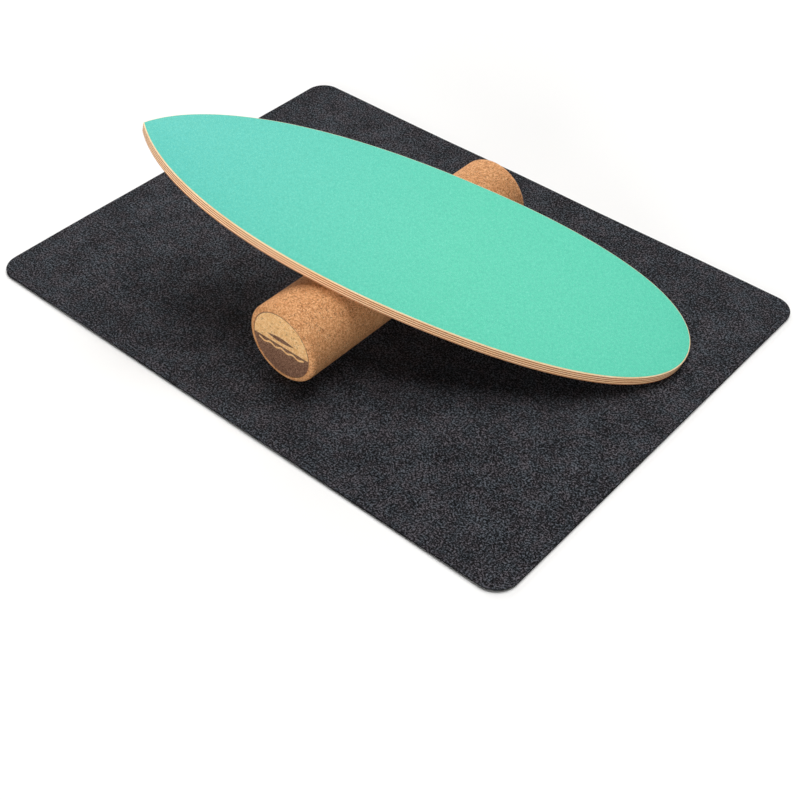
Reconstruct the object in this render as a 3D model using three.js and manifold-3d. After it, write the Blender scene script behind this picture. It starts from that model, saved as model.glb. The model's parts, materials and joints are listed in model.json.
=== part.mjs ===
// Surf-style balance board: a plywood deck on a cork roller, on a felt mat.
// Millimetres, +Z up. The origin is the middle of the mat's underside, on the floor.
// +X runs along the mat's length, towards the deck's tail. +Y runs along the roller's axis.

import * as THREE from 'three';
import Module from 'manifold-3d';
import { mergeVertices } from 'three/addons/utils/BufferGeometryUtils.js';

// --- driving dimensions ---------------------------------------------------

const GAP = 0.3; // clearance left where two pieces touch

const MAT_LENGTH = 914;
const MAT_WIDTH = 686;
const MAT_CORNER_RADIUS = 32;
const FELT_THICKNESS = 3.6;
const GRIP_THICKNESS = 0.8;
const GRIP_MARGIN = 10; // the printed grip stops short of the felt's edge

const ROLLER_RADIUS = 57.5;
const ROLLER_LENGTH = 450;
const ROLLER_END_RADIUS = 7.5; // rounding of the cork sleeve's ends
const ROLLER_X = 15.8;
const ROLLER_Y = -16.5;
const CAP_RADIUS = 48.9;
const CAP_THICKNESS = 7;
const CAP_RECESS = 0.4; // the cap sits this far inside the sleeve's end
const TUBE_WALL = 5;
const PLUG_THICKNESS = 24;

const DECK_LENGTH = 788; // outline of the top face, nose to tail
const DECK_HALF_WIDTH = 134.8;
const DECK_WIDEST = 427; // distance of the widest place from the nose
const NOSE_HALF_ANGLE = 0.98; // radians
const NOSE_FULLNESS = 88; // curve handle leaving the nose
const SHOULDER_FULLNESS = 236; // curve handle arriving at the widest place
const HIP_FULLNESS = 244; // curve handle leaving the widest place
const TAIL_FULLNESS = 78; // curve handle arriving at the tail
const TOP_EDGE_RADIUS = 1.2; // easing of the deck's upper rim
const BOTTOM_EDGE_RADIUS = 3; // rounding of its lower rim
const PLY_COUNT = 9;
const PLYWOOD_THICKNESS = 17.4;
const TOP_SHEET_THICKNESS = 0.5;

const DECK_YAW = 0.4159; // radians, the deck lies askew across the roller
const NOSE_TO_CONTACT = 379; // along the deck's middle line
const CONTACT_OFFSET = 5.8; // the middle line passes this far from the roller's middle

const BATTEN_LENGTH = 160;
const BATTEN_WIDTH = 20;
const BATTEN_THICKNESS = 12;
const BATTEN_FROM_END = 185;
const BATTEN_EDGE_RADIUS = 2;
const SCREW_SPACING = 60;
const SCREW_LENGTH = 24;
const SCREW_RADIUS = 2;
const SCREW_HEAD_RADIUS = 4;
const SCREW_HEAD_DEPTH = 2.6;
const SCREW_HEAD_RECESS = 0.6;

// --- places worked out from the dimensions --------------------------------

const MAT_TOP = GRIP_THICKNESS + GAP + FELT_THICKNESS;
const ROLLER_Z = MAT_TOP + GAP + ROLLER_RADIUS;
const PLY_PITCH = PLYWOOD_THICKNESS / PLY_COUNT;
const PLY_THICKNESS = PLY_PITCH - GAP;
const BATTENS = { nose: BATTEN_FROM_END, tail: DECK_LENGTH - BATTEN_FROM_END };
const BOTTOM_INSET = BOTTOM_EDGE_RADIUS - TOP_EDGE_RADIUS; // flat underside, inside the top's outline
const SCREW_ROW = [-SCREW_SPACING, 0, SCREW_SPACING];

const OUTLINE_STEPS = 26;

// --- materials ------------------------------------------------------------

function material(color, roughness, metalness = 0) {
  return new THREE.MeshStandardMaterial({ color, roughness, metalness });
}

const COLOURS = {
  turquoise: 0x70d9bf,
  plyLight: 0xe6bd8a,
  plyDark: 0xbd8b58,
  cork: 0xc89163,
  corkCap: 0xdca972,
  felt: 0x3c3e42,
  grip: 0xb9bbb8,
  cardboard: 0x9c7a55,
  pine: 0xd9b483,
  beech: 0xcfa06c,
  zinc: 0xb4b7ba,
};

// --- booleans -------------------------------------------------------------

const wasm = await Module();
wasm.setup();

function toSolid(geometry) {
  const bare = geometry.clone();
  bare.deleteAttribute('normal');
  bare.deleteAttribute('uv');
  const welded = mergeVertices(bare, 1e-4);
  const mesh = new wasm.Mesh({
    numProp: 3,
    vertProperties: new Float32Array(welded.attributes.position.array),
    triVerts: new Uint32Array(welded.index.array),
  });
  return new wasm.Manifold(mesh);
}

function toGeometry(solid) {
  const mesh = solid.getMesh();
  const geometry = new THREE.BufferGeometry();
  geometry.setAttribute('position', new THREE.BufferAttribute(mesh.vertProperties, 3));
  geometry.setIndex(new THREE.BufferAttribute(mesh.triVerts, 1));
  geometry.computeVertexNormals();
  return geometry;
}

// --- shared helpers -------------------------------------------------------

function piece(name, geometry, surface) {
  const mesh = new THREE.Mesh(geometry, surface);
  mesh.name = name;
  return mesh;
}

// A turned solid about the Y axis, from [radius, y] points in order.
function turned(profile, segments) {
  const points = profile.map(([radius, y]) => new THREE.Vector2(radius, y));
  return new THREE.LatheGeometry(points, segments);
}

// Points of a quarter circle, from angle `from` to `to`, as [radius, y] pairs.
function arc(centreRadius, centreY, radius, from, to, steps) {
  return Array.from({ length: steps + 1 }, (_, i) => {
    const angle = from + ((to - from) * i) / steps;
    return [centreRadius + radius * Math.cos(angle), centreY + radius * Math.sin(angle)];
  });
}

function roundedRectangle(length, width, radius) {
  const x = length / 2;
  const y = width / 2;
  const shape = new THREE.Shape();
  shape.moveTo(-x + radius, -y);
  shape.lineTo(x - radius, -y);
  shape.absarc(x - radius, -y + radius, radius, -Math.PI / 2, 0, false);
  shape.lineTo(x, y - radius);
  shape.absarc(x - radius, y - radius, radius, 0, Math.PI / 2, false);
  shape.lineTo(-x + radius, y);
  shape.absarc(-x + radius, y - radius, radius, Math.PI / 2, Math.PI, false);
  shape.lineTo(-x, -y + radius);
  shape.absarc(-x + radius, -y + radius, radius, Math.PI, Math.PI * 1.5, false);
  return shape;
}

function plate(shape, thickness) {
  const options = { depth: thickness, bevelEnabled: false, curveSegments: 10 };
  return new THREE.ExtrudeGeometry(shape, options);
}

// --- deck outline ---------------------------------------------------------

// Half of the deck's outline, nose to tail, as points with their outward normals.
// x is the distance from the nose and y the half width.
function halfOutline() {
  const start = new THREE.Vector2(0, 0);
  const leaving = new THREE.Vector2(Math.cos(NOSE_HALF_ANGLE), Math.sin(NOSE_HALF_ANGLE));
  const front = new THREE.CubicBezierCurve(
    start,
    leaving.multiplyScalar(NOSE_FULLNESS),
    new THREE.Vector2(DECK_WIDEST - SHOULDER_FULLNESS, DECK_HALF_WIDTH),
    new THREE.Vector2(DECK_WIDEST, DECK_HALF_WIDTH),
  );
  const back = new THREE.CubicBezierCurve(
    new THREE.Vector2(DECK_WIDEST, DECK_HALF_WIDTH),
    new THREE.Vector2(DECK_WIDEST + HIP_FULLNESS, DECK_HALF_WIDTH),
    new THREE.Vector2(DECK_LENGTH, TAIL_FULLNESS),
    new THREE.Vector2(DECK_LENGTH, 0),
  );
  const sample = (curve, i) => {
    const point = curve.getPoint(i / OUTLINE_STEPS);
    const tangent = curve.getTangent(i / OUTLINE_STEPS);
    return { point, normal: new THREE.Vector2(-tangent.y, tangent.x) };
  };
  const samples = [];
  for (let i = 0; i <= OUTLINE_STEPS; i += 1) samples.push(sample(front, i));
  for (let i = 1; i <= OUTLINE_STEPS; i += 1) samples.push(sample(back, i));
  return samples;
}

// The whole outline, grown outwards by `grow` (inwards when negative).
function deckShape(grow) {
  const nose = new THREE.Vector2(-grow / Math.sin(NOSE_HALF_ANGLE), 0);
  const tail = new THREE.Vector2(DECK_LENGTH + grow, 0);
  const left = halfOutline()
    .map(({ point, normal }) => point.clone().addScaledVector(normal, grow))
    .filter((point) => point.y > 0.5 && point.x > nose.x + 1);
  const right = left.map((point) => new THREE.Vector2(point.x, -point.y));
  return new THREE.Shape([nose, ...right, tail, ...left.reverse()]);
}

// --- where the deck lies --------------------------------------------------

// Distance from the roller's contact line to the middle of the rounding of the deck's lower
// rim, square to the roller, at the rim's farthest place towards the tail.
function tailReach() {
  const along = Math.cos(DECK_YAW);
  const across = Math.sin(DECK_YAW);
  const distances = halfOutline().flatMap(({ point }) =>
    [point.y, -point.y].map((y) => {
      const x = point.x - NOSE_TO_CONTACT;
      return x * along - (y - CONTACT_OFFSET) * across;
    }),
  );
  return Math.max(...distances) - BOTTOM_INSET;
}

// Slope at which the rounded rim, `reach` away from the contact line, comes down to the mat.
function slopeAtTouch(reach) {
  const lift = ROLLER_RADIUS + GAP + BOTTOM_EDGE_RADIUS;
  const drop = ROLLER_RADIUS - BOTTOM_EDGE_RADIUS;
  return Math.acos(-drop / Math.hypot(lift, reach)) - Math.atan2(reach, lift);
}

const REST_TILT = slopeAtTouch(tailReach());

// --- mat ------------------------------------------------------------------

function buildMat() {
  const mat = new THREE.Group();

  const gripLength = MAT_LENGTH - 2 * GRIP_MARGIN;
  const gripWidth = MAT_WIDTH - 2 * GRIP_MARGIN;
  const gripShape = roundedRectangle(gripLength, gripWidth, MAT_CORNER_RADIUS - GRIP_MARGIN);
  const grip = plate(gripShape, GRIP_THICKNESS);
  mat.add(piece('mat_grip_layer', grip, material(COLOURS.grip, 0.6)));

  const feltShape = roundedRectangle(MAT_LENGTH, MAT_WIDTH, MAT_CORNER_RADIUS);
  const felt = plate(feltShape, FELT_THICKNESS);
  const feltPiece = piece('mat_felt', felt, material(COLOURS.felt, 1));
  feltPiece.position.z = GRIP_THICKNESS + GAP;
  mat.add(feltPiece);
  return mat;
}

// --- roller ---------------------------------------------------------------

function sleeveGeometry() {
  const half = ROLLER_LENGTH / 2;
  const bore = CAP_RADIUS + GAP;
  const round = ROLLER_END_RADIUS;
  const quarter = Math.PI / 2;
  const lower = arc(ROLLER_RADIUS - round, -half + round, round, -quarter, 0, 6);
  const upper = arc(ROLLER_RADIUS - round, half - round, round, 0, quarter, 6);
  const profile = [[bore, -half], ...lower, ...upper, [bore, half], [bore, -half]];
  return turned(profile, 96);
}

function tubeGeometry(halfLength) {
  const inner = CAP_RADIUS - TUBE_WALL;
  const profile = [
    [inner, -halfLength],
    [CAP_RADIUS, -halfLength],
    [CAP_RADIUS, halfLength],
    [inner, halfLength],
    [inner, -halfLength],
  ];
  return turned(profile, 72);
}

// A disc from y = 0 to y = thickness, with a small rounding on the outer face's rim.
function capGeometry() {
  const round = 0.8;
  const rim = arc(CAP_RADIUS - round, CAP_THICKNESS - round, round, 0, Math.PI / 2, 3);
  return turned([[0, 0], [CAP_RADIUS, 0], ...rim, [0, CAP_THICKNESS]], 72);
}

function buildRoller() {
  const roller = new THREE.Group();
  const capInner = ROLLER_LENGTH / 2 - CAP_RECESS - CAP_THICKNESS;
  const tubeHalf = capInner - GAP;

  roller.add(piece('roller_cork_sleeve', sleeveGeometry(), material(COLOURS.cork, 0.85)));
  roller.add(piece('roller_core_tube', tubeGeometry(tubeHalf), material(COLOURS.cardboard, 0.9)));

  for (const [end, side] of [['front', -1], ['back', 1]]) {
    const cap = piece(`roller_cap_${end}`, capGeometry(), material(COLOURS.corkCap, 0.85));
    cap.position.y = side * capInner;
    cap.rotation.x = side > 0 ? 0 : Math.PI;
    roller.add(cap);

    const plugRadius = CAP_RADIUS - TUBE_WALL - GAP;
    const disc = new THREE.CylinderGeometry(plugRadius, plugRadius, PLUG_THICKNESS, 64);
    const plug = piece(`roller_plug_${end}`, disc, material(COLOURS.pine, 0.7));
    plug.position.y = side * (tubeHalf - PLUG_THICKNESS / 2);
    roller.add(plug);
  }

  roller.position.set(ROLLER_X, ROLLER_Y, ROLLER_Z);
  return roller;
}

// --- deck -----------------------------------------------------------------

// Countersunk screw, point upwards: its head's face is at z = 0.
function screwGeometry(clearance) {
  const tip = 3;
  const shank = SCREW_RADIUS + clearance;
  const head = SCREW_HEAD_RADIUS + clearance;
  const top = SCREW_LENGTH + clearance;
  const profile = [
    [0, -clearance],
    [head, -clearance],
    [head, 0.3],
    [shank, SCREW_HEAD_DEPTH],
    [shank, top - tip],
    [0, top],
  ];
  const geometry = turned(profile, 20);
  geometry.rotateX(Math.PI / 2);
  return geometry;
}

// Every screw of the deck: its batten's end, its number, and its place in the deck.
function screwPlaces() {
  const z = -GAP - BATTEN_THICKNESS + SCREW_HEAD_RECESS;
  return Object.entries(BATTENS).flatMap(([end, x]) =>
    SCREW_ROW.map((y, i) => ({ end, number: i + 1, at: new THREE.Vector3(x, y, z) })),
  );
}

// Room for a screw: the screw grown by a little clearance, open below its head.
function screwHole({ x, y, z }) {
  const shaft = screwGeometry(GAP).translate(x, y, z);
  const depth = 2;
  const radius = SCREW_HEAD_RADIUS + GAP;
  const mouth = new THREE.CylinderGeometry(radius, radius, depth, 20);
  mouth.rotateX(Math.PI / 2).translate(x, y, z - depth / 2);
  return toSolid(shaft).add(toSolid(mouth));
}

// The whole plywood as one solid, its faces' outline shrunk by `inset` and its rim rounded.
function blankSolid(inset, rounding, holes) {
  const blank = new THREE.ExtrudeGeometry(deckShape(-inset), {
    depth: PLYWOOD_THICKNESS - 2 * rounding,
    bevelEnabled: true,
    bevelThickness: rounding,
    bevelSize: rounding,
    bevelSegments: 4,
  });
  blank.translate(0, 0, rounding);
  return holes.reduce((solid, hole) => solid.subtract(hole), toSolid(blank));
}

// The lower plies are cut from a blank with the lower rim's rounding, the upper from the other.
function buildPlies(holes) {
  const lower = blankSolid(BOTTOM_INSET, BOTTOM_EDGE_RADIUS, holes);
  const upper = blankSolid(0, TOP_EDGE_RADIUS, holes);

  const plies = [];
  for (let i = 0; i < PLY_COUNT; i += 1) {
    const drilled = i < PLY_COUNT / 2 ? lower : upper;
    const slab = new THREE.BoxGeometry(DECK_LENGTH * 2, DECK_LENGTH, PLY_THICKNESS);
    slab.translate(0, 0, i * PLY_PITCH + PLY_THICKNESS / 2);
    const veneer = toGeometry(drilled.intersect(toSolid(slab)));
    const colour = i % 2 === 0 ? COLOURS.plyLight : COLOURS.plyDark;
    plies.push(piece(`deck_ply_${i + 1}`, veneer, material(colour, 0.6)));
  }
  return plies;
}

function buildBatten(end, holes) {
  const inset = BATTEN_EDGE_RADIUS;
  const shape = roundedRectangle(BATTEN_WIDTH - 2 * inset, BATTEN_LENGTH - 2 * inset, 3);
  const bar = new THREE.ExtrudeGeometry(shape, {
    depth: BATTEN_THICKNESS - 2 * inset,
    bevelEnabled: true,
    bevelThickness: inset,
    bevelSize: inset,
    bevelSegments: 3,
    curveSegments: 4,
  });
  bar.translate(BATTENS[end], 0, inset - GAP - BATTEN_THICKNESS);
  const drilled = holes.reduce((solid, hole) => solid.subtract(hole), toSolid(bar));
  return piece(`stop_batten_${end}`, toGeometry(drilled), material(COLOURS.beech, 0.55));
}

function buildDeck() {
  const deck = new THREE.Group();
  const screws = screwPlaces();
  const holes = screws.map(({ at }) => screwHole(at));

  deck.add(...buildPlies(holes));

  const sheet = plate(deckShape(-GAP), TOP_SHEET_THICKNESS);
  const sheetPiece = piece('deck_top_sheet', sheet, material(COLOURS.turquoise, 0.45));
  sheetPiece.position.z = PLYWOOD_THICKNESS;
  deck.add(sheetPiece);

  for (const end of Object.keys(BATTENS)) deck.add(buildBatten(end, holes));

  for (const { end, number, at } of screws) {
    const screw = piece(
      `stop_screw_${end}_${number}`,
      screwGeometry(0),
      material(COLOURS.zinc, 0.35, 1),
    );
    screw.position.copy(at);
    deck.add(screw);
  }
  return deck;
}

// The deck on the roller: contact point, then the slope, then the skew in the deck's plane.
function placeDeck(deck) {
  const skewed = new THREE.Group();
  deck.position.set(-NOSE_TO_CONTACT, -CONTACT_OFFSET, 0);
  skewed.add(deck);
  skewed.rotation.z = DECK_YAW;

  const sloped = new THREE.Group();
  sloped.add(skewed);
  sloped.rotation.y = REST_TILT;
  const stand = ROLLER_RADIUS + GAP;
  sloped.position.set(
    ROLLER_X + stand * Math.sin(REST_TILT),
    ROLLER_Y,
    ROLLER_Z + stand * Math.cos(REST_TILT),
  );
  return sloped;
}

// --- assembly -------------------------------------------------------------

const balanceBoard = new THREE.Group();
balanceBoard.add(buildMat());
balanceBoard.add(buildRoller());
balanceBoard.add(placeDeck(buildDeck()));

export default balanceBoard;
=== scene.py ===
"""The looks of the surf-style balance board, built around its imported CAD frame. Metres, +Z up."""

import json
import math

import bpy
import numpy as np
from mathutils import Matrix, Vector


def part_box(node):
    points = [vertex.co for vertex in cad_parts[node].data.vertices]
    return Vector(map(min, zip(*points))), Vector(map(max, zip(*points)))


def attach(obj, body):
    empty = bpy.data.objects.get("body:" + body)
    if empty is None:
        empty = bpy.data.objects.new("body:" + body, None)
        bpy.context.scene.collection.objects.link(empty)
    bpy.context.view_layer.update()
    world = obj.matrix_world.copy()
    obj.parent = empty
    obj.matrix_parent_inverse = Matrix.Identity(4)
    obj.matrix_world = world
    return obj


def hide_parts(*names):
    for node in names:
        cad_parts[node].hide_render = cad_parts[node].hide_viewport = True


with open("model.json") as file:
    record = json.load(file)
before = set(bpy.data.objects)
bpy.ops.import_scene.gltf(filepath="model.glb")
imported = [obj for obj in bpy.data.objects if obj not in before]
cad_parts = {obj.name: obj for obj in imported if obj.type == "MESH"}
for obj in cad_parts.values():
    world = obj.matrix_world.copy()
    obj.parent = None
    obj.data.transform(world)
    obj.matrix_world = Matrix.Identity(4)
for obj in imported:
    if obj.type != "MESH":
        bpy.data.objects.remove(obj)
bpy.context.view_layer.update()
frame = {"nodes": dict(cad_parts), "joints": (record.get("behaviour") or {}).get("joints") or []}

MM = 0.001

# --- what the frame says ----------------------------------------------------

JOINTS = {joint["name"]: joint for joint in frame["joints"]}
ROLLER_AXIS = Vector(JOINTS["roller_spin"]["pos_m"])
SLOPE = Vector(JOINTS["deck_travel"]["axis"])
DECK_NORMAL = SLOPE.cross(Vector(JOINTS["roller_spin"]["axis"])).normalized()

FELT_LOW, FELT_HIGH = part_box("mat_felt")
GRIP_LOW, GRIP_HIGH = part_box("mat_grip_layer")
SLEEVE_LOW, SLEEVE_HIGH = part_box("roller_cork_sleeve")


def cad_points(node):
    """A CAD node's corners, as rows of x, y, z."""
    vertices = frame["nodes"][node].data.vertices
    points = np.zeros(len(vertices) * 3)
    vertices.foreach_get("co", points)
    return np.unique(points.reshape(-1, 3).round(7), axis=0)


def deck_axes():
    """The deck's own frame: the nose at the plywood's underside, and its three directions."""
    sheet = cad_points("deck_top_sheet")
    nose = Vector(sheet[sheet[:, 0].argmin()])
    along = Vector(sheet.mean(0)) - nose
    along = (along - along.dot(DECK_NORMAL) * DECK_NORMAL).normalized()
    across = DECK_NORMAL.cross(along)
    under = float((cad_points("deck_ply_1") @ np.array(DECK_NORMAL)).min())
    return nose + (under - nose.dot(DECK_NORMAL)) * DECK_NORMAL, along, across


NOSE, ALONG, ACROSS = deck_axes()
TO_WORLD = np.array([ALONG, ACROSS, DECK_NORMAL])


def in_deck(node):
    """A CAD node's corners as (distance from nose, side, height above the underside)."""
    return (cad_points(node) - np.array(NOSE)) @ TO_WORLD.T


def from_deck(points):
    return np.asarray(points) @ TO_WORLD + np.array(NOSE)


# --- meshes -----------------------------------------------------------------


def make_object(name, vertices, faces, sharp_degrees=35):
    mesh = bpy.data.meshes.new(name)
    mesh.from_pydata([tuple(map(float, v)) for v in vertices], [], faces)
    mesh.validate()
    mesh.shade_smooth()
    mesh.set_sharp_from_angle(angle=math.radians(sharp_degrees))
    made = bpy.data.objects.new(name, mesh)
    bpy.context.scene.collection.objects.link(made)
    return made


def finish_piece(piece, body, look, node):
    """Paints a piece, puts it on its body, and lets it stand for its CAD node."""
    piece.data.materials.clear()
    piece.data.materials.append(look)
    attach(piece, body)
    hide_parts(node)
    return piece


def loft(rings):
    """Vertices and faces of a skin over rings of equal length, open at both ends."""
    count = len(rings[0])
    vertices = np.concatenate(rings)
    faces = []
    for level in range(len(rings) - 1):
        low, high = level * count, (level + 1) * count
        for i in range(count):
            j = (i + 1) % count
            faces.append((low + i, low + j, high + j, high + i))
    return vertices, faces


def turned(profile, segments, centre):
    """A skin turned about the Y axis through centre, from a closed loop of (radius, y)."""
    angles = np.arange(segments) * (2 * math.pi / segments)
    vertices = []
    for radius, y in profile:
        ring = np.stack([radius * np.cos(angles), np.full(segments, y), radius * np.sin(angles)], 1)
        vertices.append(ring)
    count = len(profile)
    faces = []
    for level in range(count):
        low, high = level * segments, ((level + 1) % count) * segments
        for i in range(segments):
            j = (i + 1) % segments
            faces.append((low + i, high + i, high + j, low + j))
    return np.concatenate(vertices) + np.array(centre), faces


# --- deck outline -----------------------------------------------------------

SPLINE_STEPS = 5  # points made for each one that the CAD outline has
NOSE_STEPS = 8  # facets of the nose's rounding
CAD_GAP = 0.3 * MM  # clearance that the CAD pieces keep


def hermite(a, b, m, n, t):
    """A smooth curve from a to b with slopes m and n, and its direction, at t from 0 to 1."""
    point = (
        (2 * t**3 - 3 * t**2 + 1) * a
        + (t**3 - 2 * t**2 + t) * m
        + (3 * t**2 - 2 * t**3) * b
        + (t**3 - t**2) * n
    )
    direction = (
        6 * (t**2 - t) * (a - b) + (3 * t**2 - 4 * t + 1) * m + (3 * t**2 - 2 * t) * n
    )
    return point, direction


def smooth_outline():
    """The top sheet's outline from the nose round to the nose, as points with outward normals."""
    sheet = in_deck("deck_top_sheet")
    rim = sheet[sheet[:, 2] > sheet[:, 2].max() - 0.1 * MM][:, :2]
    rim = np.unique(rim.round(6), axis=0)
    turn = np.arctan2(rim[:, 1], rim[:, 0] - rim[:, 0].max() / 2)
    loop = rim[np.argsort(turn)]
    loop = np.roll(loop, -np.argmin(loop[:, 0]), axis=0)
    loop = np.vstack([loop, loop[:1]])
    before = np.vstack([2 * loop[:1] - loop[1:2], loop[:-1]])
    after = np.vstack([loop[1:], 2 * loop[-1:] - loop[-2:-1]])
    slopes = (after - before) / 2
    made = [
        hermite(loop[i], loop[i + 1], slopes[i], slopes[i + 1], step / SPLINE_STEPS)
        for i in range(len(loop) - 1)
        for step in range(SPLINE_STEPS)
    ]
    made.append((loop[-1], slopes[-1]))
    points = np.array([point for point, direction in made])
    directions = np.array([direction for point, direction in made])
    normals = np.column_stack([directions[:, 1], -directions[:, 0]])
    return points, normals / np.linalg.norm(normals, axis=1)[:, None]


OUTLINE, NORMALS = smooth_outline()


def mitred(grow):
    """The outline grown by this much, its nose kept a sharp corner."""
    ring = OUTLINE + NORMALS * grow
    corner = OUTLINE[0] + np.array([grow / NORMALS[0, 0], 0])
    return np.vstack([corner, ring[1:-1]])


PLYWOOD_TOP = in_deck("deck_ply_9")[:, 2].max() + CAD_GAP
RIM_REACH = np.ptp(in_deck("deck_ply_6")[:, 1]) / 2 - np.ptp(in_deck("deck_top_sheet")[:, 1]) / 2
TOP_EASE = RIM_REACH - CAD_GAP
BOTTOM_ROUND = 3 * MM
CORE_INSET = BOTTOM_ROUND - RIM_REACH  # flat underside, inside the top sheet's outline
PLY_COUNT = 9
PLY_PITCH = PLYWOOD_TOP / PLY_COUNT
PLY_LEVELS = 6  # rings up one ply's rim
GLUE_JOINT = 0.02 * MM
PLY_NOTCH = 0.12 * MM  # how far a ply's rim is eased back at a glue joint
SHEET_WEAR = 0.2 * MM


def rounded(grow):
    """The underside's outline grown by this much, with a round nose."""
    angles = np.arctan2(NORMALS[:, 1], NORMALS[:, 0])
    first, last = angles[0] % (2 * math.pi), angles[-1] % (2 * math.pi)
    fan = np.linspace(last, first, NOSE_STEPS + 1)
    corner = OUTLINE[0] - np.array([CORE_INSET / NORMALS[0, 0], 0])
    nose = corner + grow * np.column_stack([np.cos(fan), np.sin(fan)])
    sides = OUTLINE[1:-1] + NORMALS[1:-1] * (grow - CORE_INSET)
    middle = NOSE_STEPS // 2
    return np.vstack([nose[middle:], sides, nose[:middle]])


def rim_grow(height):
    """How far the rim stands out from the underside's outline at this height."""
    below = max(BOTTOM_ROUND - height, 0)
    above = max(height - (PLYWOOD_TOP - TOP_EASE), 0)
    foot = math.sqrt(BOTTOM_ROUND**2 - below**2)
    return foot - TOP_EASE + math.sqrt(TOP_EASE**2 - above**2)


def deck_ring(flat, height):
    return from_deck(np.column_stack([flat, np.full(len(flat), height)]))


def paired_caps(count, last):
    """Faces that close a mirrored loop's two ends with strips laid across it."""
    faces = []
    for i in range(count // 2):
        strip = tuple(dict.fromkeys((i, i + 1, (count - i - 1) % count, (count - i) % count)))
        faces.append(strip[::-1])
        faces.append(tuple(last + k for k in strip))
    return faces


def deck_slab(name, rings):
    """A closed slab over mirrored rings, its two flat faces quads that run across the deck."""
    vertices, faces = loft(rings)
    count = len(rings[0])
    faces += paired_caps(count, (len(rings) - 1) * count)
    return make_object(name, vertices, faces)


def make_ply(number):
    """One veneer, full thickness but for a hairline glue joint, with softened rim edges."""
    low = (number - 1) * PLY_PITCH + GLUE_JOINT
    high = number * PLY_PITCH - GLUE_JOINT
    heights = np.linspace(low + PLY_NOTCH, high - PLY_NOTCH, PLY_LEVELS)
    levels = [(low, rim_grow(low) - PLY_NOTCH)]
    levels += [(h, rim_grow(h)) for h in heights]
    levels.append((high, rim_grow(high) - PLY_NOTCH))
    return deck_slab(f"ply_{number}", [deck_ring(rounded(g), h) for h, g in levels])


def make_top_sheet():
    """The non-slip sheet, its upper edge a little worn round."""
    high = in_deck("deck_top_sheet")[:, 2].max()
    worn = SHEET_WEAR
    levels = [(PLYWOOD_TOP, 0), (high - worn, 0), (high - 0.3 * worn, -0.3 * worn), (high, -worn)]
    return deck_slab("top_sheet", [deck_ring(mitred(g), h) for h, g in levels])


# --- mat --------------------------------------------------------------------

MAT_CORNER = 32 * MM
CORNER_STEPS = 8
FELT_CELLS = (150, 112)
FELT_SEED = 7
UNEVEN = 0.25 * MM  # depth of the hollows in the felt's top
CUT_ROUNDING = 0.9 * MM  # the felt's cut rim is a little rounded
LIFT_LONG, LIFT_SHORT = 0.9 * MM, 0.7 * MM  # how far the long and short sides stand off the floor
LIFT_FROM_X, LIFT_BAND_X = 0.41, 0.047
LIFT_FROM_Y, LIFT_BAND_Y = 0.27, 0.073


def rounded_grid(low, high, corner, cells):
    """A grid over a rounded rectangle, as an array of x, y by row and column."""
    centre = (np.array(low[:2]) + np.array(high[:2])) / 2
    half = (np.array(high[:2]) - np.array(low[:2])) / 2

    def stations(size, count):
        inside = np.linspace(-(size - corner), size - corner, count + 1)
        bend = np.linspace(0, corner, CORNER_STEPS + 1)[1:]
        return np.concatenate([-(size - corner) - bend[::-1], inside, size - corner + bend])

    x, y = np.meshgrid(stations(half[0], cells[0]), stations(half[1], cells[1]), indexing="ij")
    over_x = np.clip(np.abs(x) - (half[0] - corner), 0, None) / corner
    over_y = np.clip(np.abs(y) - (half[1] - corner), 0, None) / corner
    arc_x = over_x * np.sqrt(1 - over_y**2 / 2)
    arc_y = over_y * np.sqrt(1 - over_x**2 / 2)
    both = (over_x > 0) & (over_y > 0)
    x = np.where(both, np.sign(x) * (half[0] - corner + arc_x * corner), x)
    y = np.where(both, np.sign(y) * (half[1] - corner + arc_y * corner), y)
    return x + centre[0], y + centre[1]


def mat_lift(x, y):
    """How far the felt's rim stands off the floor, in slow waves along the four sides."""
    edge_y = np.clip((np.abs(y) - LIFT_FROM_Y) / LIFT_BAND_Y, 0, 1) ** 2
    edge_x = np.clip((np.abs(x) - LIFT_FROM_X) / LIFT_BAND_X, 0, 1) ** 2
    wave_y = 0.5 + 0.5 * np.sin(x * 17 + 1.3 + np.sign(y) * 0.9)
    wave_x = 0.5 + 0.5 * np.sin(y * 21 + 0.4 + np.sign(x))
    return LIFT_LONG * edge_y * wave_y + LIFT_SHORT * edge_x * wave_x


def grid_skin(columns, rows, offset):
    """Quads of a columns x rows grid of points, numbered from offset."""
    faces = []
    for i in range(columns - 1):
        for j in range(rows - 1):
            a = offset + i * rows + j
            faces.append((a, a + rows, a + rows + 1, a + 1))
    return faces


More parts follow.
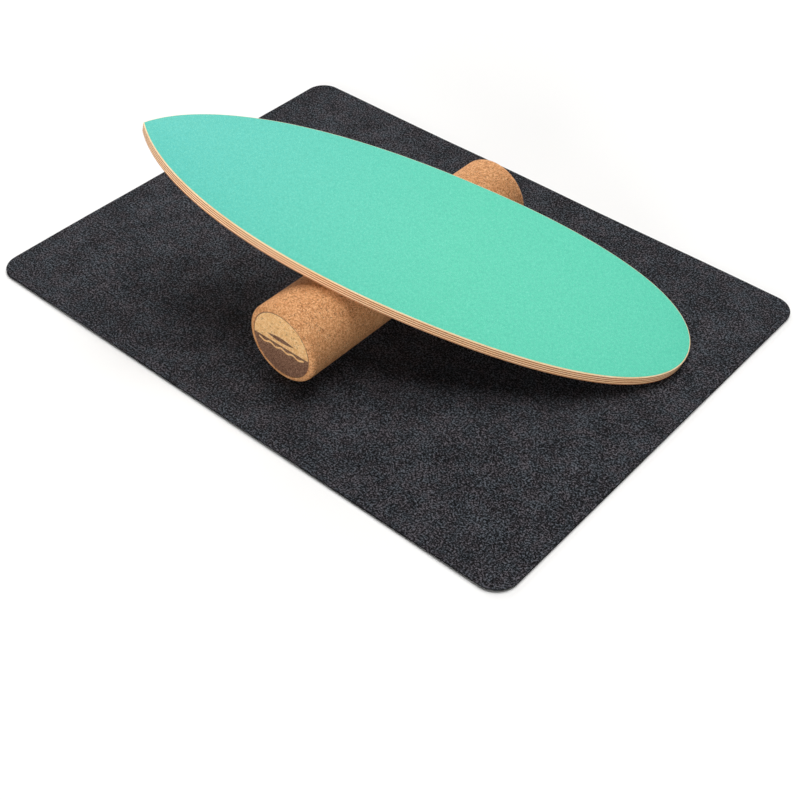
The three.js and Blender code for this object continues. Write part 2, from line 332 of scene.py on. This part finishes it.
def make_felt():
    """The felt: one soft-edged sheet with a faintly uneven top."""
    x, y = rounded_grid(FELT_LOW, FELT_HIGH, MAT_CORNER, FELT_CELLS)
    columns, rows = x.shape
    rng = np.random.default_rng(FELT_SEED)
    soft = rng.normal(0, 1, x.shape)
    for _ in range(3):
        soft = (soft + np.roll(soft, 1, 0) + np.roll(soft, -1, 0) + np.roll(soft, 1, 1)) / 4
        soft = (soft + np.roll(soft, -1, 1)) / 2
    uneven = np.clip(soft / np.abs(soft).max(), -1, 0) * UNEVEN
    lift = mat_lift(x, y)
    border = CUT_ROUNDING
    top = np.stack([x, y, FELT_HIGH.z + lift + uneven], -1)
    bottom = np.stack([x, y, FELT_LOW.z + lift], -1)

    def pull_in(sheet, amount, drop):
        middle = np.array([*((FELT_LOW + FELT_HIGH) / 2)][:2])
        flat = sheet[..., :2] - middle
        half = np.array([*(FELT_HIGH - FELT_LOW)][:2]) / 2
        shrunk = sheet.copy()
        shrunk[..., :2] = middle + flat * (1 - amount / half)
        shrunk[..., 2] += drop
        return shrunk

    top_in = pull_in(top, border, 0)
    bottom_in = pull_in(bottom, 0.4 * border, 0)
    count = columns * rows
    loop = [i * rows for i in range(columns)]
    loop += [(columns - 1) * rows + j for j in range(1, rows)]
    loop += [i * rows + rows - 1 for i in range(columns - 2, -1, -1)]
    loop += list(range(rows - 2, 0, -1))
    upper = pull_in(top, 0.3 * border, -0.35 * border).reshape(-1, 3)[loop]
    middle = pull_in(top, 0, -border).reshape(-1, 3)[loop]
    lower = pull_in(bottom, 0, 0.4 * border).reshape(-1, 3)[loop]
    vertices = np.concatenate(
        [top_in.reshape(-1, 3), bottom_in.reshape(-1, 3), upper, middle, lower]
    )
    faces = grid_skin(columns, rows, 0)
    faces += [face[::-1] for face in grid_skin(columns, rows, count)]
    size = len(loop)
    bands = [loop, *([2 * count + k * size + i for i in range(size)] for k in range(3))]
    bands.append([count + i for i in loop])
    for high, low in zip(bands, bands[1:]):
        for i in range(size):
            j = (i + 1) % size
            faces.append((high[i], low[i], low[j], high[j]))
    return make_object("felt_mat", vertices, faces, 60)


DOT_PITCH = 15 * MM
DOT_RADIUS = 2.3 * MM
DOT_SIDES = 10
DOT_SEED = 11
DOT_STRAY = 0.3 * MM  # how far a dot may sit from its place
DOT_LEVELS = ((0.98, FELT_LOW.z + 0.1 * MM), (1, 0.75 * MM), (0.72, 0.2 * MM))  # share of radius, z


def make_grip_dots():
    """The printed dots under the felt: low domes in staggered rows, no two quite alike."""
    rng = np.random.default_rng(DOT_SEED)
    angles = np.arange(DOT_SIDES) * 2 * math.pi / DOT_SIDES
    vertices, faces = [], []
    row_step = DOT_PITCH * math.sqrt(3) / 2
    half_x = (GRIP_HIGH.x - GRIP_LOW.x) / 2 - 2 * DOT_RADIUS
    half_y = (GRIP_HIGH.y - GRIP_LOW.y) / 2 - 2 * DOT_RADIUS
    rows = int(half_y / row_step)
    columns = int(half_x / DOT_PITCH)
    for row in range(-rows, rows + 1):
        for column in range(-columns, columns + 1):
            x = (column + 0.5 * (row % 2)) * DOT_PITCH + rng.normal(0, DOT_STRAY)
            y = row * row_step + rng.normal(0, DOT_STRAY)
            if abs(x) > half_x:
                continue
            wobble = DOT_RADIUS * (1 + rng.normal(0, 0.07, DOT_SIDES)) * rng.uniform(0.88, 1.08)
            lift = float(mat_lift(x, y))
            start = len(vertices)
            for share, z in DOT_LEVELS:
                for r, angle in zip(wobble * share, angles):
                    vertices.append((x + r * math.cos(angle), y + r * math.sin(angle), z + lift))
            vertices.append((x, y, lift))
            for level in range(2):
                for i in range(DOT_SIDES):
                    j = (i + 1) % DOT_SIDES
                    a = start + level * DOT_SIDES
                    faces.append((a + i, a + DOT_SIDES + i, a + DOT_SIDES + j, a + j))
            base, tip = start + 2 * DOT_SIDES, start + 3 * DOT_SIDES
            faces += [(base + i, tip, base + (i + 1) % DOT_SIDES) for i in range(DOT_SIDES)]
            faces.append(tuple(start + i for i in range(DOT_SIDES)))
    return make_object("grip_dots", vertices, faces, 50)


# --- roller -----------------------------------------------------------------

SLEEVE_SEGMENTS = 240
SLEEVE_END_RADIUS = 7.5 * MM
SLEEVE_RADIUS = (SLEEVE_HIGH.x - SLEEVE_LOW.x) / 2
SLEEVE_SEED = 3
SLEEVE_STATIONS = 200  # rings along the straight part
ROUND_STEPS = 10
BORE_LIP = 0.5 * MM  # the bore's mouth is eased


def quarter(centre_radius, centre_y, radius, start, stop, steps):
    angles = np.linspace(start, stop, steps + 1)
    return [(centre_radius + radius * math.cos(a), centre_y + radius * math.sin(a)) for a in angles]


def make_sleeve():
    half = (SLEEVE_HIGH.y - SLEEVE_LOW.y) / 2
    cap_low, cap_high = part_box("roller_cap_front")
    bore = (cap_high.x - cap_low.x) / 2 + CAD_GAP
    round_off = SLEEVE_END_RADIUS
    straight = np.linspace(-half + round_off, half - round_off, SLEEVE_STATIONS)[1:-1]
    outer = SLEEVE_RADIUS - round_off
    lip = BORE_LIP
    profile = [(bore, -half + lip), (bore + 0.3 * lip, -half + 0.3 * lip), (bore + lip, -half)]
    profile += quarter(outer, -half + round_off, round_off, -math.pi / 2, 0, ROUND_STEPS)
    profile += [(SLEEVE_RADIUS, y) for y in straight]
    profile += quarter(outer, half - round_off, round_off, 0, math.pi / 2, ROUND_STEPS)
    profile += [(bore + lip, half), (bore + 0.3 * lip, half - 0.3 * lip), (bore, half - lip)]
    vertices, faces = turned(profile, SLEEVE_SEGMENTS, ROLLER_AXIS)
    # Sanded cork is never quite true: shallow dips, and never proud of the CAD radius.
    rng = np.random.default_rng(SLEEVE_SEED)
    radial = vertices - np.array(ROLLER_AXIS)
    radial[:, 1] = 0
    length = np.linalg.norm(radial, axis=1)[:, None]
    dips = np.clip(rng.normal(0.05, 0.05, len(vertices)), 0, 0.16)[:, None] * MM
    dips[length[:, 0] < bore + 2 * lip] = 0
    vertices = vertices - radial / length * dips
    return make_object("cork_sleeve", vertices, faces, 60)


CAP_RINGS = 60
CAP_SEGMENTS = 192
CAP_EASE = 0.8 * MM  # rounding of a cap's rim
CAP_SEEDS = {"front": 5, "back": 6}


def make_cap(end):
    """A cork disc whose outer face has an eased rim. Side is the way it looks along Y."""
    low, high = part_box(f"roller_cap_{end}")
    side = -1 if end == "front" else 1
    radius = (high.x - low.x) / 2
    face_y, back_y = (low.y, high.y) if side < 0 else (high.y, low.y)
    ease = CAP_EASE
    angles = np.arange(CAP_SEGMENTS) * 2 * math.pi / CAP_SEGMENTS
    flat = [(radius - ease) * k / CAP_RINGS for k in range(1, CAP_RINGS + 1)]
    levels = [(r, face_y) for r in flat]
    levels += [
        (radius - ease * (1 - math.sin(a)), face_y - side * ease * (1 - math.cos(a)))
        for a in np.linspace(0, math.pi / 2, 5)[1:]
    ]
    levels.append((radius, back_y))
    rng = np.random.default_rng(CAP_SEEDS[end])
    vertices = [(ROLLER_AXIS.x, face_y, ROLLER_AXIS.z)]
    for index, (r, y) in enumerate(levels):
        dips = np.clip(rng.normal(0.03, 0.03, CAP_SEGMENTS), 0, 0.1) * MM
        if index >= CAP_RINGS:
            dips[:] = 0
        for angle, dip in zip(angles, dips):
            x = ROLLER_AXIS.x + r * math.cos(angle)
            z = ROLLER_AXIS.z + r * math.sin(angle)
            vertices.append((x, y - side * dip, z))
    faces = []
    for i in range(CAP_SEGMENTS):
        j = (i + 1) % CAP_SEGMENTS
        faces.append((0, 1 + i, 1 + j))
        for level in range(len(levels) - 1):
            a = 1 + level * CAP_SEGMENTS
            b = a + CAP_SEGMENTS
            faces.append((a + i, b + i, b + j, a + j))
    last = 1 + (len(levels) - 1) * CAP_SEGMENTS
    faces.append(tuple(last + i for i in range(CAP_SEGMENTS)))
    if side > 0:
        faces = [face[::-1] for face in faces]
    return make_object(f"cork_cap_{end}", vertices, faces, 50)


# --- materials --------------------------------------------------------------


def colour(red, green, blue):
    """An sRGB colour of 0 to 255 as the linear one that a shader takes."""

    def linear(value):
        value /= 255
        return value / 12.92 if value <= 0.04045 else ((value + 0.055) / 1.055) ** 2.4

    return (linear(red), linear(green), linear(blue), 1)


class Look:
    """A procedural material, built with short calls."""

    def __init__(self, name):
        self.material = bpy.data.materials.new(name)
        self.material.use_nodes = True
        self.tree = self.material.node_tree
        self.shader = self.tree.nodes["Principled BSDF"]
        self.place = self.add("ShaderNodeTexCoord").outputs["Object"]

    def add(self, kind, inputs=None, **settings):
        node = self.tree.nodes.new(kind)
        for key, value in settings.items():
            setattr(node, key, value)
        for key, value in (inputs or {}).items():
            self.feed(node.inputs[key], value)
        return node

    def feed(self, socket, value):
        if isinstance(value, bpy.types.NodeSocket):
            self.tree.links.new(value, socket)
        else:
            socket.default_value = value

    def set(self, **values):
        """Sets the shader's sockets: base_color is its "Base Color", and so on."""
        for key, value in values.items():
            name = "Specular IOR Level" if key == "specular" else key.replace("_", " ").title()
            self.feed(self.shader.inputs[name], value)

    def stretch(self, vector, x, y, z):
        node = self.add("ShaderNodeVectorMath", operation="MULTIPLY")
        self.feed(node.inputs[0], vector)
        self.feed(node.inputs[1], (x, y, z))
        return node.outputs[0]

    def turn(self, vector, degrees):
        """The vector turned about Z."""
        node = self.add("ShaderNodeVectorRotate", {"Vector": vector}, rotation_type="Z_AXIS")
        node.inputs["Angle"].default_value = math.radians(degrees)
        return node.outputs[0]

    def noise(self, vector, scale, detail=2, roughness=0.5, distortion=0):
        node = self.add(
            "ShaderNodeTexNoise",
            {
                "Vector": vector,
                "Scale": scale,
                "Detail": detail,
                "Roughness": roughness,
                "Distortion": distortion,
            },
        )
        return node.outputs[0]

    def cells(self, vector, scale, output="Color", feature="F1"):
        node = self.add("ShaderNodeTexVoronoi", {"Vector": vector, "Scale": scale}, feature=feature)
        return node.outputs[output]

    def ramp(self, factor, *stops):
        node = self.add("ShaderNodeValToRGB", {0: factor})
        elements = node.color_ramp.elements
        while len(elements) < len(stops):
            elements.new(0.5)
        for element, (position, value) in zip(elements, stops):
            element.position = position
            element.color = value
        return node.outputs[0]

    def fade(self, factor, low, high):
        """0 below low, 1 above high."""
        node = self.add("ShaderNodeMapRange", {0: factor, 1: low, 2: high})
        return node.outputs[0]

    def mix(self, factor, first, second, blend="MIX"):
        node = self.add("ShaderNodeMix", data_type="RGBA", blend_type=blend)
        for index, value in ((0, factor), (6, first), (7, second)):
            self.feed(node.inputs[index], value)
        return node.outputs[2]

    def maths(self, operation, first, second=0.0):
        node = self.add("ShaderNodeMath", operation=operation)
        self.feed(node.inputs[0], first)
        self.feed(node.inputs[1], second)
        return node.outputs[0]

    def part(self, vector, index):
        return self.add("ShaderNodeSeparateXYZ", {0: vector}).outputs[index]

    def bump(self, height, distance, strength=1):
        inputs = {"Height": height, "Distance": distance, "Strength": strength}
        return self.add("ShaderNodeBump", inputs).outputs[0]

    def drifted(self, vector, noise, reach):
        """The vector pushed about by smooth noise with these inputs, by up to this reach."""
        drift = self.add("ShaderNodeTexNoise", {"Vector": vector, **noise})
        push = self.add("ShaderNodeVectorMath", operation="SCALE")
        self.feed(push.inputs[0], drift.outputs["Color"])
        push.inputs["Scale"].default_value = reach
        moved = self.add("ShaderNodeVectorMath", operation="ADD")
        self.feed(moved.inputs[0], vector)
        self.feed(moved.inputs[1], push.outputs[0])
        return moved.outputs[0]

    def in_deck(self):
        """The place in the deck's own frame: along, across and up."""
        moved = self.add("ShaderNodeVectorMath", operation="SUBTRACT")
        self.feed(moved.inputs[0], self.place)
        self.feed(moved.inputs[1], NOSE)
        joined = self.add("ShaderNodeCombineXYZ")
        for index, axis in enumerate((ALONG, ACROSS, DECK_NORMAL)):
            dot = self.add("ShaderNodeVectorMath", operation="DOT_PRODUCT")
            self.feed(dot.inputs[0], moved.outputs[0])
            self.feed(dot.inputs[1], axis)
            self.feed(joined.inputs[index], dot.outputs["Value"])
        return joined.outputs[0]


def felt_look():
    """Charcoal needle felt: matted dark and pale fibres in clumps of 2 to 4 mm, with painted shade on its
    cut side.
    """
    look = Look("charcoal_felt")
    clumps = look.noise(look.place, 400, 3, 0.75)
    cloudy = look.noise(look.place, 24, 3, 0.55)
    tints = look.noise(look.place, 70, 2, 0.5)
    fibres = look.noise(look.stretch(look.turn(look.place, 25), 260, 1500, 1500), 1, 2, 0.6, 0.6)
    crossing = look.noise(look.stretch(look.turn(look.place, -50), 280, 1400, 1400), 1, 2, 0.6, 0.6)
    strands = look.maths("MAXIMUM", fibres, crossing)
    tone = look.maths("ADD", look.maths("MULTIPLY", clumps, 0.8), look.maths("MULTIPLY", strands, 0.2))
    tone = look.maths("ADD", tone, look.maths("MULTIPLY", cloudy, 0.08))
    shade = look.ramp(
        tone,
        (0.44, colour(2, 2, 3)),
        (0.50, colour(13, 13, 15)),
        (0.56, colour(41, 41, 44)),
        (0.64, colour(99, 99, 104)),
    )
    hue = look.ramp(tints, (0.38, colour(238, 250, 255)), (0.62, colour(255, 246, 248)))
    # Painted shade: the cut side and underside are mixed 92 % of the way to near-black, starting 0.3 mm
    # below the felt's top and in full from 0.9 mm below.
    side = look.fade(look.part(look.place, 2), FELT_HIGH.z - 0.9 * MM, FELT_HIGH.z - 0.3 * MM)
    shade = look.mix(side, look.mix(0.92, shade, colour(7, 6, 5)), shade)
    look.set(
        base_color=look.mix(1.0, shade, hue, "MULTIPLY"),
        roughness=0.95,
        specular=0.05,
        sheen_weight=0.03,
        sheen_roughness=0.6,
        normal=look.bump(tone, 1.2 * MM, 0.9),
    )
    return look.material


def grip_look():
    look = Look("grip_dot_vinyl")
    mottled = look.noise(look.place, 500, 3)
    look.set(
        base_color=look.ramp(mottled, (0.3, colour(150, 150, 147)), (0.7, colour(190, 190, 186))),
        roughness=look.fade(mottled, -0.6, 1.6),
        normal=look.bump(mottled, 0.1 * MM),
    )
    return look.material


GRANULES, FINE_GRANULES, BARK_SPECKS = 640, 1300, 380  # per metre


def cork_colours(look, pale):
    """Pressed cork granules, 1 to 3 mm: tone by granule, dark seams and brown bark specks."""
    warped = look.drifted(look.place, {"Scale": 320, "Detail": 2}, 1.6 * MM)
    granule = look.part(look.cells(warped, GRANULES), 0)
    fine = look.part(look.cells(warped, FINE_GRANULES), 1)
    seam = look.cells(warped, GRANULES, "Distance", "DISTANCE_TO_EDGE")
    grain = look.noise(look.place, 900, 3, 0.6)
    tone = look.maths("ADD", look.maths("MULTIPLY", granule, 0.5), look.maths("MULTIPLY", fine, 0.25))
    tone = look.maths("ADD", tone, look.maths("MULTIPLY", grain, 0.25))
    if pale:
        stops = (
            (0.1, colour(206, 142, 84)),
            (0.35, colour(238, 184, 120)),
            (0.6, colour(250, 203, 143)),
            (0.9, colour(255, 224, 178)),
        )
    else:
        stops = (
            (0.14, colour(156, 96, 56)),
            (0.36, colour(210, 145, 92)),
            (0.58, colour(232, 169, 114)),
            (0.82, colour(250, 202, 150)),
        )
    body = look.ramp(tone, *stops)
    bark = look.fade(look.part(look.cells(warped, BARK_SPECKS), 2), 0.9, 0.96)
    speck = look.maths("MULTIPLY", bark, look.fade(look.noise(look.place, 700), 0.45, 0.6))
    body = look.mix(look.maths("MULTIPLY", speck, 0.75), body, colour(96, 58, 36))
    seams = look.fade(seam, 0.1, 0.0)
    body = look.mix(look.maths("MULTIPLY", seams, 0.35), body, colour(126, 80, 50))
    height = look.maths("SUBTRACT", grain, look.maths("MULTIPLY", seams, 0.5))
    return body, height


def cork_look():
    look = Look("cork")
    body, height = cork_colours(look, pale=False)
    look.set(base_color=body, roughness=0.82, specular=0.25, normal=look.bump(height, 0.35 * MM))
    return look.material


CHORD = -1.0 * MM  # height above the axis at which a cap's two tones meet
WAVE_PITCH = 20 * MM
WAVE_HEIGHT = 1.5 * MM
WAVE_LEVEL = CHORD - 6.5 * MM
WAVE_REACH = 40 * MM
BOARD_LEVEL = 8 * MM
BOARD_LONG, BOARD_WIDE = 24 * MM, 3.6 * MM  # half the plain board shape's length and width
CAP_RADIUS = np.ptp(cad_points("roller_cap_front")[:, 0]) / 2


def cap_look():
    """Pale cork in a dark ring, stained dark below a chord, with a plain wave and board shape."""
    look = Look("cork_cap")
    body, height = cork_colours(look, pale=True)
    side = look.maths("SUBTRACT", look.part(look.place, 0), ROLLER_AXIS.x)
    up = look.maths("SUBTRACT", look.part(look.place, 2), ROLLER_AXIS.z)
    aside = look.maths("ABSOLUTE", side)

    stain = look.fade(up, CHORD, CHORD - 0.5 * MM)
    swell = look.maths("COSINE", look.maths("MULTIPLY", side, 2 * math.pi / WAVE_PITCH))
    level = look.maths("ADD", look.maths("MULTIPLY", swell, WAVE_HEIGHT), WAVE_LEVEL)
    off_wave = look.maths("ABSOLUTE", look.maths("SUBTRACT", up, level))
    band = look.fade(off_wave, 1.9 * MM, 1.5 * MM)
    within = look.fade(aside, WAVE_REACH + 0.2 * MM, WAVE_REACH - 0.2 * MM)
    stain = look.maths("SUBTRACT", stain, look.maths("MULTIPLY", band, within))

    taper = look.maths("POWER", look.maths("DIVIDE", aside, BOARD_LONG), 2)
    half_width = look.maths("SUBTRACT", BOARD_WIDE, look.maths("MULTIPLY", taper, BOARD_WIDE))
    off_board = look.maths("ABSOLUTE", look.maths("SUBTRACT", up, BOARD_LEVEL))
    board = look.fade(look.maths("SUBTRACT", off_board, half_width), 0.2 * MM, -0.2 * MM)

    radius = look.maths("SQRT", look.maths("ADD", look.maths("POWER", side, 2), look.maths("POWER", up, 2)))
    ring = look.fade(radius, CAP_RADIUS - 1.3 * MM, CAP_RADIUS - 0.7 * MM)
    pressed = look.maths("MAXIMUM", look.maths("MAXIMUM", stain, board), ring)
    speckled = look.noise(look.place, 650, 3, 0.65)
    dark = look.ramp(
        speckled,
        (0.32, colour(74, 46, 36)),
        (0.5, colour(124, 88, 68)),
        (0.68, colour(168, 130, 104)),
    )
    height = look.maths("SUBTRACT", height, look.maths("MULTIPLY", pressed, 0.6))
    look.set(
        base_color=look.mix(pressed, body, dark),
        roughness=0.8,
        specular=0.25,
        normal=look.bump(height, 0.3 * MM),
    )
    return look.material


def ply_look(name, light):
    """Veneer in the deck's frame. Light plies run along the deck, dark ones show end grain."""
    look = Look(name)
    place = look.in_deck()
    streak = (8, 90, 900) if light else (420, 420, 240)
    streaks = look.noise(look.stretch(place, *streak), 1, 4, 0.65)
    patches = look.noise(place, 22, 3)
    pores = look.fade(look.noise(look.stretch(place, 900, 900, 500), 1, 1), 0.62, 0.72)
    if light:
        body = look.ramp(
            streaks,
            (0.25, colour(240, 200, 154)),
            (0.5, colour(253, 226, 188)),
            (0.75, colour(255, 242, 218)),
        )
    else:
        body = look.ramp(
            streaks,
            (0.25, colour(144, 78, 42)),
            (0.5, colour(190, 114, 70)),
            (0.75, colour(214, 146, 98)),
        )
    body = look.mix(0.3, body, look.mix(patches, colour(120, 90, 66), colour(235, 215, 190)), "OVERLAY")
    body = look.mix(look.maths("MULTIPLY", pores, 0.35), body, colour(110, 70, 42))
    look.set(
        base_color=body,
        roughness=look.fade(streaks, -0.7, 1.5),
        specular=0.35,
        normal=look.bump(streaks, 0.12 * MM),
    )
    return look.material


def underside_look():
    """The bottom veneer: birch with long figure along the deck."""
    look = Look("birch_underside")
    place = look.in_deck()
    bent = look.drifted(place, {"Scale": 3.5, "Detail": 1}, 90 * MM)
    figure = look.noise(look.stretch(bent, 2.2, 60, 60), 1, 3, 0.55)
    fine = look.noise(look.stretch(place, 14, 900, 900), 1, 3, 0.6)
    tone = look.maths("ADD", look.maths("MULTIPLY", figure, 0.7), look.maths("MULTIPLY", fine, 0.3))
    body = look.ramp(
        tone,
        (0.3, colour(205, 158, 108)),
        (0.48, colour(232, 197, 150)),
        (0.7, colour(246, 222, 184)),
    )
    look.set(base_color=body, roughness=0.42, specular=0.4, normal=look.bump(fine, 0.08 * MM))
    return look.material


def top_look():
    """Turquoise sheet with a fine non-slip grain; a little bluer at the nose, which is painted light, not
    the sheet's own colour.
    """
    look = Look("turquoise_sheet")
    place = look.in_deck()
    # Painted light: the base colour goes from bluer within 5 cm of the nose to greener beyond 45 cm, a tint
    # of the lamps and backdrop put into the sheet's colour.
    run = look.fade(look.part(place, 0), 0.05, 0.45)
    body = look.mix(run, colour(73, 193, 181), colour(79, 205, 171))
    grain = look.noise(look.place, 820, 2, 0.6)
    mottle = look.noise(look.place, 260, 3, 0.6)
    pebbles = look.cells(look.place, 1400, "Distance")
    body = look.mix(look.fade(grain, 0.4, 0.9), body, colour(138, 228, 208))
    body = look.mix(look.maths("MULTIPLY", look.fade(mottle, 0.4, 0.8), 0.45), body, colour(70, 180, 154))
    look.set(
        base_color=body,
        roughness=0.6,
        specular=0.3,
        normal=look.bump(pebbles, 0.15 * MM, 0.7),
    )
    return look.material


def beech_look():
    """Beech: the board's battens, grain along their length, with short dark flecks."""
    look = Look("beech")
    place = look.in_deck()
    grain = look.noise(look.stretch(place, 300, 12, 300), 1, 4, 0.6)
    flecks = look.fade(look.noise(look.stretch(place, 900, 160, 900), 1, 1), 0.62, 0.7)
    body = look.ramp(grain, (0.3, colour(186, 128, 82)), (0.7, colour(222, 172, 122)))
    body = look.mix(look.maths("MULTIPLY", flecks, 0.5), body, colour(128, 80, 48))
    look.set(base_color=body, roughness=0.4, specular=0.4, normal=look.bump(grain, 0.1 * MM))
    return look.material


def pine_look():
    look = Look("pine")
    grain = look.noise(look.stretch(look.place, 160, 160, 9), 1, 3, 0.6)
    body = look.ramp(grain, (0.3, colour(200, 150, 96)), (0.7, colour(236, 200, 148)))
    look.set(base_color=body, roughness=0.6, normal=look.bump(grain, 0.15 * MM))
    return look.material


def board_look():
    look = Look("paper_board")
    plies = look.noise(look.stretch(look.place, 60, 9, 60), 1, 3, 0.6)
    body = look.ramp(plies, (0.3, colour(132, 100, 68)), (0.7, colour(168, 134, 96)))
    look.set(base_color=body, roughness=0.85, normal=look.bump(plies, 0.1 * MM))
    return look.material


def zinc_look():
    look = Look("zinc_steel")
    scuffs = look.noise(look.place, 1800, 3, 0.6)
    body = look.ramp(scuffs, (0.3, colour(176, 178, 180)), (0.7, colour(206, 207, 206)))
    look.set(
        base_color=body,
        metallic=1.0,
        roughness=look.fade(scuffs, -0.5, 2.2),
        normal=look.bump(scuffs, 0.03 * MM),
    )
    return look.material


# --- the pieces -------------------------------------------------------------


def build_mat():
    felt = finish_piece(make_felt(), "mat", felt_look(), "mat_felt")
    dots = finish_piece(make_grip_dots(), "mat", grip_look(), "mat_grip_layer")


def build_roller():
    shell = "roller_shell"
    finish_piece(make_sleeve(), shell, cork_look(), "roller_cork_sleeve")
    look = cap_look()
    for end in ("front", "back"):
        finish_piece(make_cap(end), shell, look, f"roller_cap_{end}")
    inner = {"roller_core_tube": board_look(), "roller_plug_front": pine_look()}
    inner["roller_plug_back"] = inner["roller_plug_front"]
    paint_nodes(inner)


def paint_nodes(looks):
    """Gives CAD nodes that stay their own finished material."""
    for node, look in looks.items():
        data = frame["nodes"][node].data
        data.materials.clear()
        data.materials.append(look)


def build_deck():
    light = ply_look("veneer_light", light=True)
    dark = ply_look("veneer_dark", light=False)
    for number in range(1, PLY_COUNT + 1):
        is_light = number % 2 == 1
        look = underside_look() if number == 1 else light if is_light else dark
        finish_piece(make_ply(number), "deck", look, f"deck_ply_{number}")
    finish_piece(make_top_sheet(), "deck", top_look(), "deck_top_sheet")
    beech = beech_look()
    zinc = zinc_look()
    paint_nodes({f"stop_batten_{end}": beech for end in ("nose", "tail")})
    paint_nodes({f"stop_screw_{e}_{n}": zinc for e in ("nose", "tail") for n in (1, 2, 3)})


build_mat()
build_roller()
build_deck()

# --- camera, floor and light ------------------------------------------------


def camera_axes(azimuth, elevation, roll):
    """Right, up and back of a camera that looks from this way, rolled about its own line."""
    a, e, r = map(math.radians, (azimuth, elevation, roll))
    back = Vector((math.sin(a) * math.cos(e), -math.cos(a) * math.cos(e), math.sin(e)))
    level = Vector((math.cos(a), math.sin(a), 0))
    up = back.cross(level)
    right = math.cos(r) * level + math.sin(r) * up
    return right, math.cos(r) * up - math.sin(r) * level, back


CAMERA_DISTANCE = 1.9619
AIM_RIGHT, AIM_UP = 0.0095, -0.1609  # where it looks, from the middle of the mat's top
LENS = 62.08


def make_camera():
    right, up, back = camera_axes(azimuth=39.94, elevation=43.55, roll=0.95)
    data = bpy.data.cameras.new("camera")
    data.sensor_width = 36
    data.lens = LENS
    camera = bpy.data.objects.new("camera", data)
    bpy.context.scene.collection.objects.link(camera)
    target = Vector((0, 0, FELT_HIGH.z)) + AIM_RIGHT * right + AIM_UP * up
    facing = Matrix((right, up, back)).transposed().to_4x4()
    camera.matrix_world = Matrix.Translation(target + CAMERA_DISTANCE * back) @ facing
    bpy.context.scene.camera = camera


FLOOR_REACH = 12


def make_floor():
    mesh = bpy.data.meshes.new("floor")
    reach = FLOOR_REACH
    corners = [(-reach, -reach, 0), (reach, -reach, 0), (reach, reach, 0), (-reach, reach, 0)]
    mesh.from_pydata(corners, [], [(0, 1, 2, 3)])
    floor = bpy.data.objects.new("floor", mesh)
    bpy.context.scene.collection.objects.link(floor)
    look = Look("pale_floor")
    look.set(base_color=(0.9, 0.895, 0.885, 1), roughness=0.9, specular=0.1)
    mesh.materials.append(look.material)


def make_sun(name, place, spread, strength):
    """A far, soft lamp that shines from this direction; spread is its width in degrees."""
    data = bpy.data.lights.new(name, "SUN")
    data.angle = math.radians(spread)
    data.energy = strength
    lamp = bpy.data.objects.new(name, data)
    bpy.context.scene.collection.objects.link(lamp)
    lamp.rotation_euler = (-Vector(place)).to_track_quat("-Z", "Y").to_euler()


SHED_LIGHT = 0.05
BACKDROP_LIGHT = 1.0


def make_world():
    """A white studio behind the object that sheds only a little light of its own."""
    world = bpy.data.worlds.new("studio")
    world.use_nodes = True
    tree = world.node_tree
    path = tree.nodes.new("ShaderNodeLightPath")
    level = tree.nodes.new("ShaderNodeMapRange")
    level.inputs["To Min"].default_value = SHED_LIGHT
    level.inputs["To Max"].default_value = BACKDROP_LIGHT
    sky = tree.nodes["Background"]
    sky.inputs["Color"].default_value = (1, 1, 1, 1)
    tree.links.new(path.outputs["Is Camera Ray"], level.inputs["Value"])
    tree.links.new(level.outputs["Result"], sky.inputs["Strength"])
    bpy.context.scene.world = world


def make_light():
    make_world()
    make_sun("overhead", (-0.5, 1.9, 4.4), 50, 3.1)
    make_sun("low_back", (-3.2, 2.2, 1.6), 28, 1.0)
    make_sun("front_fill", (1.6, -4.8, 0.8), 24, 2.0)
    bpy.context.scene.view_settings.view_transform = "Standard"


make_camera()
make_floor()
make_light()
